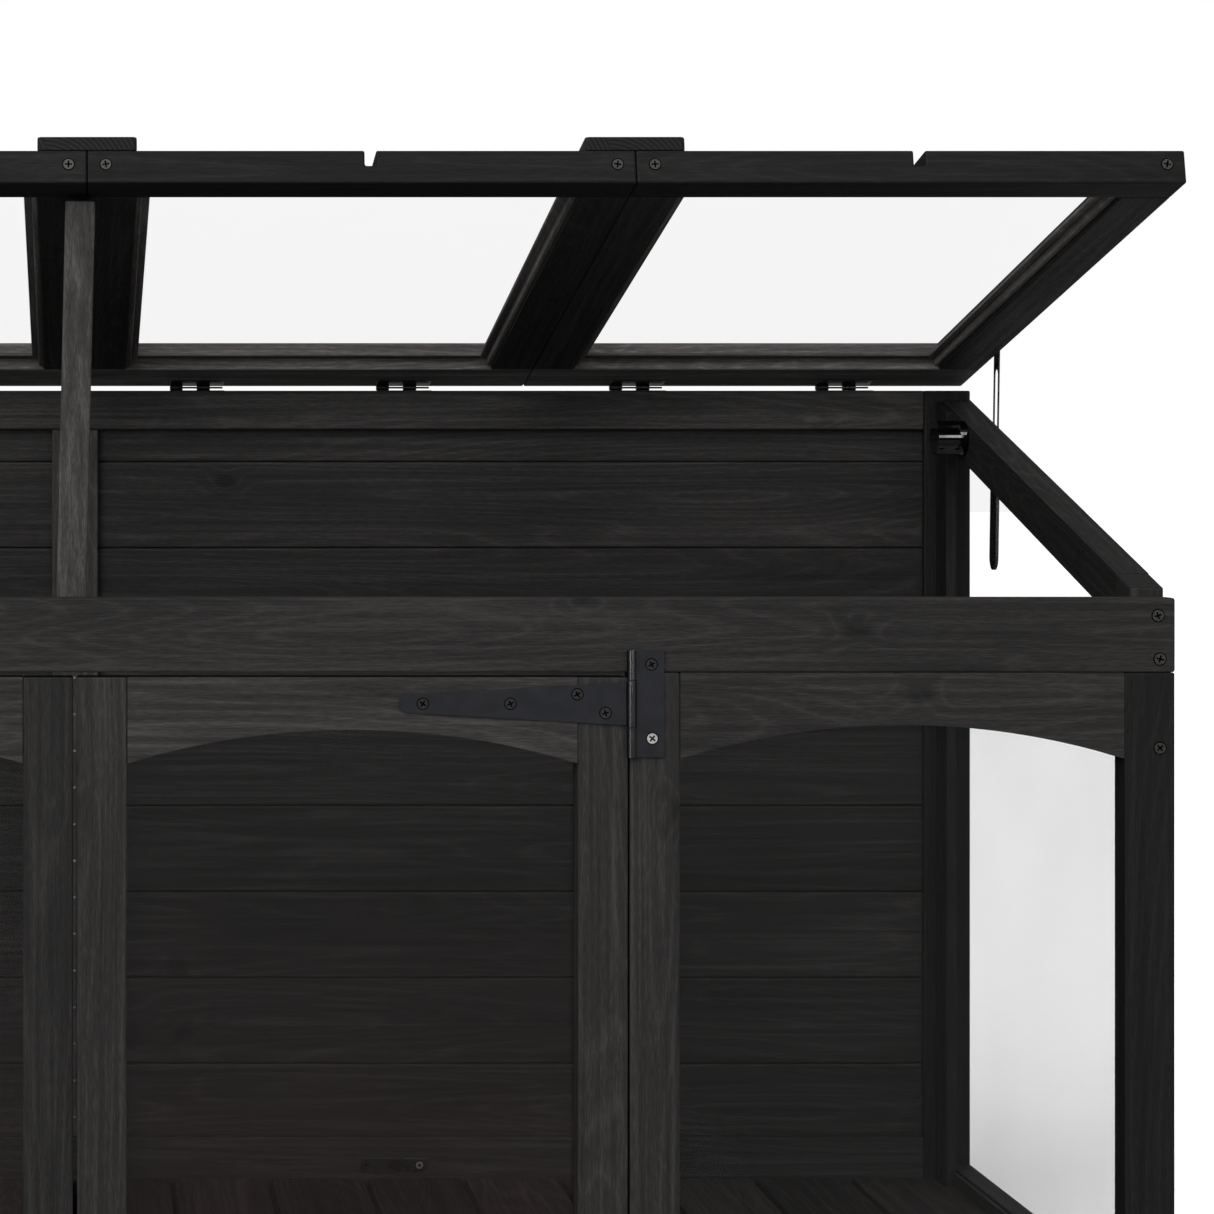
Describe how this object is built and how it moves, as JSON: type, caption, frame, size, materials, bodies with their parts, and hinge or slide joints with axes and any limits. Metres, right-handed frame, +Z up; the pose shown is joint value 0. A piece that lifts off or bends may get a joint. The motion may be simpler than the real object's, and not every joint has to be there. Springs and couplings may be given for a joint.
{
  "type": "wooden cold frame",
  "caption": "Low timber cold frame with a boarded back, clear front, side and roof panes, arched front rails, strap-hinged doors, and a lifting sloped roof on a prop and side stays.",
  "frame": {"origin": "on the ground under the middle of the whole object's bounding box, roof open as pictured", "axes": "+X to the right of someone facing the doors, along the length; +Y from the doors to the back wall; +Z up"},
  "size_m": [1.7746, 0.6614, 1.0604],
  "materials": {
    "stained_wood": "charcoal-black stain over planed softwood, satin, grain showing",
    "floor_wood": "dark brown-black stained slats, matt",
    "prop_wood": "dark stained square stick, matt, a little paler than the frame",
    "clear_pane": "clear sheet, glossy",
    "black_steel": "black powder coat, fine satin texture",
    "dark_zinc_steel": "black zinc plate, glossy",
    "black_plastic": "glossy black moulding"
  },
  "bodies": {
    "frame": {"back_boards": "stained_wood", "back_bottom_rail": "stained_wood", "back_top_rail": "stained_wood", "floor_deck": "floor_wood", "front_beam": "stained_wood", "front_bottom_rail": "stained_wood", "left_back_post": "stained_wood", "left_front_post": "stained_wood", "left_lower_hinge_leaf": "black_steel", "left_panel_arch_rail": "stained_wood", "left_panel_pane": "clear_pane", "left_panel_stile": "stained_wood", "left_side_bottom_rail": "stained_wood", "left_side_pane": "clear_pane", "left_side_stile": "stained_wood", "left_slope_rail": "stained_wood", "left_upper_hinge_leaf": "black_steel", "right_back_post": "stained_wood", "right_front_post": "stained_wood", "right_lower_hinge_leaf": "black_steel", "right_panel_arch_rail": "stained_wood", "right_panel_pane": "clear_pane", "right_panel_stile": "stained_wood", "right_side_bottom_rail": "stained_wood", "right_side_pane": "clear_pane", "right_side_stile": "stained_wood", "right_slope_rail": "stained_wood", "right_upper_hinge_leaf": "black_steel"},
    "roof": {"roof_cap_centre": "stained_wood", "roof_cap_left": "stained_wood", "roof_cap_right": "stained_wood", "roof_pane_1": "clear_pane", "roof_pane_2": "clear_pane", "roof_pane_3": "clear_pane", "roof_pane_4": "clear_pane", "roof_sash_1": "stained_wood", "roof_sash_2": "stained_wood", "roof_sash_3": "stained_wood", "roof_sash_4": "stained_wood"},
    "left_door": {"left_door_arch_rail": "stained_wood", "left_door_bottom_rail": "stained_wood", "left_door_hinge_stile": "stained_wood", "left_door_meeting_stile": "stained_wood", "left_door_pane": "clear_pane", "left_lower_hinge_strap": "black_steel", "left_upper_hinge_strap": "black_steel"},
    "right_door": {"right_door_arch_rail": "stained_wood", "right_door_bottom_rail": "stained_wood", "right_door_hinge_stile": "stained_wood", "right_door_meeting_stile": "stained_wood", "right_door_pane": "clear_pane", "right_lower_hinge_strap": "black_steel", "right_upper_hinge_strap": "black_steel"},
    "left_stay_blade": {"left_stay_blade": "dark_zinc_steel"},
    "left_stay_sheath": {"left_stay_sheath": "dark_zinc_steel"},
    "left_stay_knob": {"left_stay_knob": "black_plastic"},
    "right_stay_blade": {"right_stay_blade": "dark_zinc_steel"},
    "right_stay_sheath": {"right_stay_sheath": "dark_zinc_steel"},
    "right_stay_knob": {"right_stay_knob": "black_plastic"},
    "prop": {"prop_stick": "prop_wood"}
  },
  "joints": [
    {"name": "roof_hinge", "type": "hinge", "parent": "frame", "child": "roof", "pos_m": [0, 0.31586, 0.87745], "axis": [1, 0, 0], "range_deg": [0, 29.25]},
    {"name": "left_door_hinge", "type": "hinge", "parent": "frame", "child": "left_door", "pos_m": [-0.4445, -0.30314, 0.366], "axis": [0, 0, -1], "range_deg": [0, 170]},
    {"name": "right_door_hinge", "type": "hinge", "parent": "frame", "child": "right_door", "pos_m": [0.4445, -0.30314, 0.366], "axis": [0, 0, 1], "range_deg": [0, 170]},
    {"name": "left_blade_pivot", "type": "hinge", "parent": "roof", "child": "left_stay_blade", "pos_m": [-0.883, 0.2122, 0.91714], "axis": [1, 0, 0], "range_deg": [-14.8, 0]},
    {"name": "left_sheath_pivot", "type": "hinge", "parent": "frame", "child": "left_stay_sheath", "pos_m": [-0.883, 0.2171, 0.82679], "axis": [1, 0, 0], "range_deg": [0, 14.8]},
    {"name": "left_knob_turn", "type": "hinge", "parent": "frame", "child": "left_stay_knob", "pos_m": [-0.838, 0.2171, 0.82679], "axis": [1, 0, 0], "continuous": true},
    {"name": "right_blade_pivot", "type": "hinge", "parent": "roof", "child": "right_stay_blade", "pos_m": [0.883, 0.2122, 0.91714], "axis": [1, 0, 0], "range_deg": [-14.8, 0]},
    {"name": "right_sheath_pivot", "type": "hinge", "parent": "frame", "child": "right_stay_sheath", "pos_m": [0.883, 0.2171, 0.82679], "axis": [1, 0, 0], "range_deg": [0, 14.8]},
    {"name": "right_knob_turn", "type": "hinge", "parent": "frame", "child": "right_stay_knob", "pos_m": [0.838, 0.2171, 0.82679], "axis": [1, 0, 0], "continuous": true},
    {"name": "prop_slide", "type": "slide", "parent": "frame", "child": "prop", "axis": [0.0227, -0.1149, 0.9931], "range_m": [-0.324, 0]}
  ],
  "couplings": [
    {"joint": "left_blade_pivot", "follows": "roof_hinge", "ratio": -0.5},
    {"joint": "left_sheath_pivot", "follows": "roof_hinge", "ratio": 0.5},
    {"joint": "right_blade_pivot", "follows": "roof_hinge", "ratio": -0.5},
    {"joint": "right_sheath_pivot", "follows": "roof_hinge", "ratio": 0.5},
    {"joint": "prop_slide", "follows": "roof_hinge", "m_per_rad": -0.633}
  ]
}
